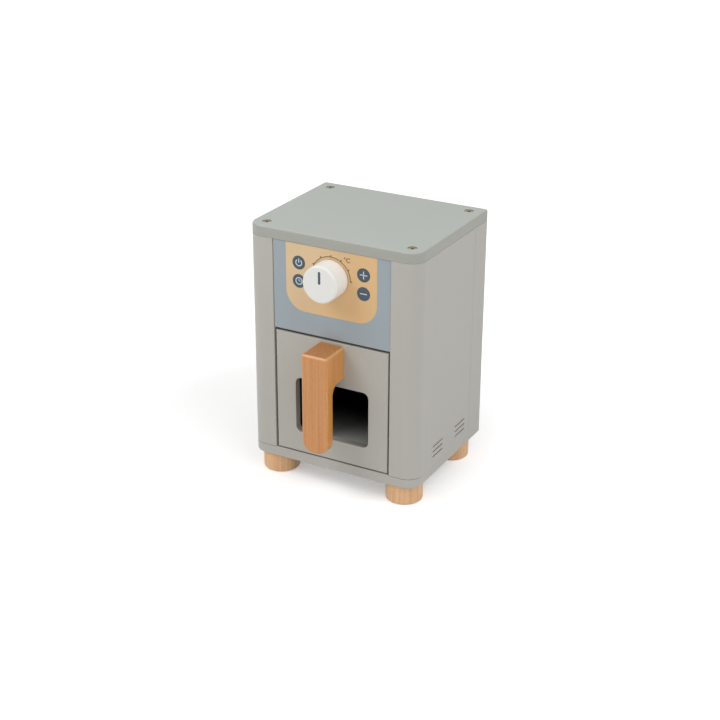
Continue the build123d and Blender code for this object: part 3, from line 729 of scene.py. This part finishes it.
# Painted shade: the floor darkens towards the back, away from the window.
overlaid(base_pale, ranged(base_pale.node_tree, coordinate(base_pale, "Y"), *BASE_PAINTED_SHADE_FADE), SHADE_BLACK)
dress(drawer_grey, "drawer_front")
dress(box_painted_shade, "drawer_left_side", "drawer_right_side", "drawer_back")
dress(base_pale, "drawer_base")


# Handle
# An L cut from one block of beech, its grain upright along the grip and its edges rounded over. Its upper
# rounded edges carry a painted highlight and its flanks are painted lighter and yellower, standing in for
# light. Two screws from inside the drawer hold its arm to the front board.

HANDLE_BEECH = ((0.606, 0.270, 0.090, 1), (0.500, 0.203, 0.057, 1))
HANDLE_FLANK_PAINTED_LIGHT = (1.15, 1.15, 0.98, 1)
HANDLE_PAINTED_HIGHLIGHT = (0.800, 0.460, 0.235, 1)
HANDLE_PITH = (0.055, 0.105, 0.0)
HANDLE_RINGS = 0.0042
HANDLE_COAT_AND_PAINTED_LIGHT = {"coat": 0.35, "painted_flank_light": HANDLE_FLANK_PAINTED_LIGHT, "painted_highlight": HANDLE_PAINTED_HIGHLIGHT}

handle_beech = wood("Handle Beech", HANDLE_BEECH, HANDLE_PITH, HANDLE_RINGS, **HANDLE_COAT_AND_PAINTED_LIGHT)
dress(handle_beech, "drawer_handle")


# Dial
# A round wooden knob sprayed white, with a slate pointer line let into its face. It turns on a
# wooden axle through the panel, held behind by a washer and a screw.

KNOB_WHITE = (0.780, 0.775, 0.745, 1)
KNOB_EDGE = (0.830, 0.825, 0.800, 1)
KNOB_SIDE_PAINTED_LIGHT = (0.905, 0.900, 0.865, 1)
POINTER_LENGTH = 0.0125
POINTER_WIDTH = 0.0026
POINTER_START = 0.0006
POINTER_DEPTH = 0.0005
POINTER_SINK = 0.0001
POINTER_STEPS = 16
KNOB_PAINT = {"roughness": 0.38, "spread": 0.05, "painted_rim_shading": KNOB_SIDE_PAINTED_LIGHT, "axis": BACK}

# The knob's side is paler than its face: a painted highlight standing in for light from above and the
# right.
dress(paint("Knob Paint", KNOB_WHITE, KNOB_EDGE, UPRIGHT_GRAIN, **KNOB_PAINT), "dial_knob")
dress(dowel_wood, "dial_axle")
pointer_low = dial_z + POINTER_START + POINTER_WIDTH / 2
pointer_high = dial_z + POINTER_START + POINTER_LENGTH - POINTER_WIDTH / 2
pointer = arc((0.0, pointer_low), POINTER_WIDTH / 2, 180, 360, POINTER_STEPS)
pointer += arc((0.0, pointer_high), POINTER_WIDTH / 2, 0, 180, POINTER_STEPS)
pointer_place = (knob_low.y + POINTER_DEPTH, POINTER_DEPTH - POINTER_SINK)
flat_piece("dial_pointer", [pointer], *pointer_place, slate_ink, "dial", "knob_paint")


# Bolts and screws
# Dulled brass bolts and sleeves hold the top board, and zinc-plated screws hold the rest.
# Their polish is finely scuffed.

BRASS = (0.420, 0.380, 0.260, 1)
BRASS_ROUGHNESS = 0.42
ZINC = (0.560, 0.560, 0.545, 1)
ZINC_ROUGHNESS = 0.34
SCUFF_SCALE = 1800.0
SCUFF_GRIT = 0.7
SCUFF_RANGE = (0.2, 0.8)
SCUFF_RELIEF = (0.00002, 0.3)
SMOOTHER = 0.10
ROUGHER = 0.15
TARNISH = 0.7


def turned_metal(name, colour, roughness):
    """Turned or plated metal with an uneven polish."""
    material, tree, shader = blank_finish(name)
    place = grain_coordinates(tree, UPRIGHT_GRAIN)
    scuffs = noise(tree, place, SCUFF_SCALE, FINE_DETAIL, SCUFF_GRIT)
    dull = tuple(TARNISH * c for c in colour[:3]) + (1,)
    tree.links.new(mixed(tree, scuffs, colour, dull), shader.inputs["Base Color"])
    rough = ranged(tree, scuffs, *SCUFF_RANGE, roughness - SMOOTHER, roughness + ROUGHER)
    tree.links.new(rough, shader.inputs["Roughness"])
    shader.inputs["Metallic"].default_value = 1.0
    relief(tree, shader, scuffs, *SCUFF_RELIEF)
    return material


dress(turned_metal("Dulled Brass", BRASS, BRASS_ROUGHNESS), "top_bolts", "post_inserts")
zinc = turned_metal("Zinc Plate", ZINC, ZINC_ROUGHNESS)
dress(zinc, "foot_screws", "rear_panel_screws", "guide_screws", "handle_screws", "drawer_screws")
dress(zinc, "dial_washer", "dial_screw")


# Studio
# The toy stands on a white floor under soft light: a pale sky, brighter towards the front, a broad lamp
# from the upper left and front, and a broader one from the right.

FLOOR_SIZE = 12.0
FLOOR_WHITE = (0.90, 0.90, 0.90, 1)
FLOOR_SPECKLE = (0.8865, 0.8865, 0.8865, 1)
FLOOR_ROUGHNESS = 0.9
FLOOR_GLOSS = 0.1
SPECKLE_SCALE = 600.0
GLOW_CENTRE = (-0.10, 0.03, 0.0)
GLOW_REACH = (0.14, 0.30)
GLOW_LEVELS = (0.32, 0.58)
SKY_TOWARDS = (0.5, -0.85, 0.0)
SKY_LEVELS = (0.36, 0.66)
KEY_PLACE = (-0.61, -0.67, 0.98)
KEY_POWER = 5.0
KEY_SIZE = 0.60
FILL_PLACE = (0.95, -0.34, 1.10)
FILL_POWER = 5.8
FILL_SIZE = 1.00
AIM = Vector((0.0, 0.016, 0.13))
CAMERA_PLACE = (0.632586, -1.159184, 0.705791)
CAMERA_AZIMUTH = 28.635
CAMERA_ELEVATION = 24.112
CAMERA_ROLL = 0.215
CAMERA_LENS = 74.382


def seen_directly(tree):
    """1 for rays that come straight from the camera, or by a mirror or through glass."""
    rays = tree.nodes.new("ShaderNodeLightPath").outputs
    seen = sums(tree, "MAXIMUM", rays["Is Camera Ray"], rays["Is Glossy Ray"])
    return sums(tree, "MAXIMUM", seen, rays["Is Transmission Ray"])


def lamp(name, place, power, size):
    """A square soft lamp aimed at the toy."""
    light = bpy.data.lights.new(name, "AREA")
    light.energy = power
    light.size = size
    made = bpy.data.objects.new(name, light)
    made.location = place
    made.rotation_euler = (AIM - Vector(place)).to_track_quat("-Z", "Y").to_euler()
    bpy.context.scene.collection.objects.link(made)


floor_mesh = bpy.data.meshes.new("floor")
half = FLOOR_SIZE / 2
floor_corners = [(-half, -half, 0), (half, -half, 0), (half, half, 0), (-half, half, 0)]
floor_mesh.from_pydata(floor_corners, [], [(0, 1, 2, 3)])
floor_white, floor_tree, floor_shader = blank_finish("Floor White")
speckles = noise(floor_tree, grain_coordinates(floor_tree, UPRIGHT_GRAIN), SPECKLE_SCALE)
floor_colour = mixed(floor_tree, speckles, FLOOR_WHITE, FLOOR_SPECKLE)
floor_tree.links.new(floor_colour, floor_shader.inputs["Base Color"])
floor_shader.inputs["Roughness"].default_value = FLOOR_ROUGHNESS
floor_shader.inputs["Specular IOR Level"].default_value = FLOOR_GLOSS
# Painted light: the floor glows for camera rays, weakest near a point left of the toy and strongest
# farther out, so the toy's shadow fades into white sooner, most on the right.
floor_place = floor_tree.nodes.new("ShaderNodeTexCoord").outputs["Object"]
floor_spot = {0: floor_place, 1: GLOW_CENTRE}
floor_reach = put(floor_tree, "ShaderNodeVectorMath", floor_spot, operation="DISTANCE").outputs["Value"]
floor_gain = ranged(floor_tree, floor_reach, *GLOW_REACH, *GLOW_LEVELS)
floor_glow = sums(floor_tree, "MULTIPLY", seen_directly(floor_tree), floor_gain)
floor_shader.inputs["Emission Color"].default_value = (1, 1, 1, 1)
floor_tree.links.new(floor_glow, floor_shader.inputs["Emission Strength"])
floor_mesh.materials.append(floor_white)
floor = bpy.data.objects.new("floor", floor_mesh)
bpy.context.scene.collection.objects.link(floor)

world = bpy.data.worlds.new("Studio")
world.use_nodes = True
bpy.context.scene.world = world
sky = world.node_tree
backdrop = sky.nodes["Background"]
backdrop.inputs["Color"].default_value = (1, 1, 1, 1)
sky_ray = {0: sky.nodes.new("ShaderNodeTexCoord").outputs["Generated"], 1: SKY_TOWARDS}
sky_turn = put(sky, "ShaderNodeVectorMath", sky_ray, operation="DOT_PRODUCT").outputs["Value"]
soft_level = ranged(sky, sky_turn, -1.0, 1.0, *SKY_LEVELS)
level = ranged(sky, seen_directly(sky), 0.0, 1.0, soft_level, 1.0)
sky.links.new(level, backdrop.inputs["Strength"])
lamp("key", KEY_PLACE, KEY_POWER, KEY_SIZE)
lamp("fill", FILL_PLACE, FILL_POWER, FILL_SIZE)

azimuth, elevation = math.radians(CAMERA_AZIMUTH), math.radians(CAMERA_ELEVATION)
level_reach = math.cos(elevation)
towards = Vector((math.sin(azimuth) * level_reach, -math.cos(azimuth) * level_reach, math.sin(elevation)))
right = Vector((math.cos(azimuth), math.sin(azimuth), 0))
up = towards.cross(right)
turn = Matrix((right, up, towards)).transposed() @ Matrix.Rotation(math.radians(CAMERA_ROLL), 3, "Z")
camera_data = bpy.data.cameras.new("camera")
camera_data.lens = CAMERA_LENS
camera = bpy.data.objects.new("camera", camera_data)
camera.matrix_world = Matrix.Translation(CAMERA_PLACE) @ turn.to_4x4()
bpy.context.scene.collection.objects.link(camera)
bpy.context.scene.camera = camera
bpy.context.scene.view_settings.view_transform = "Standard"
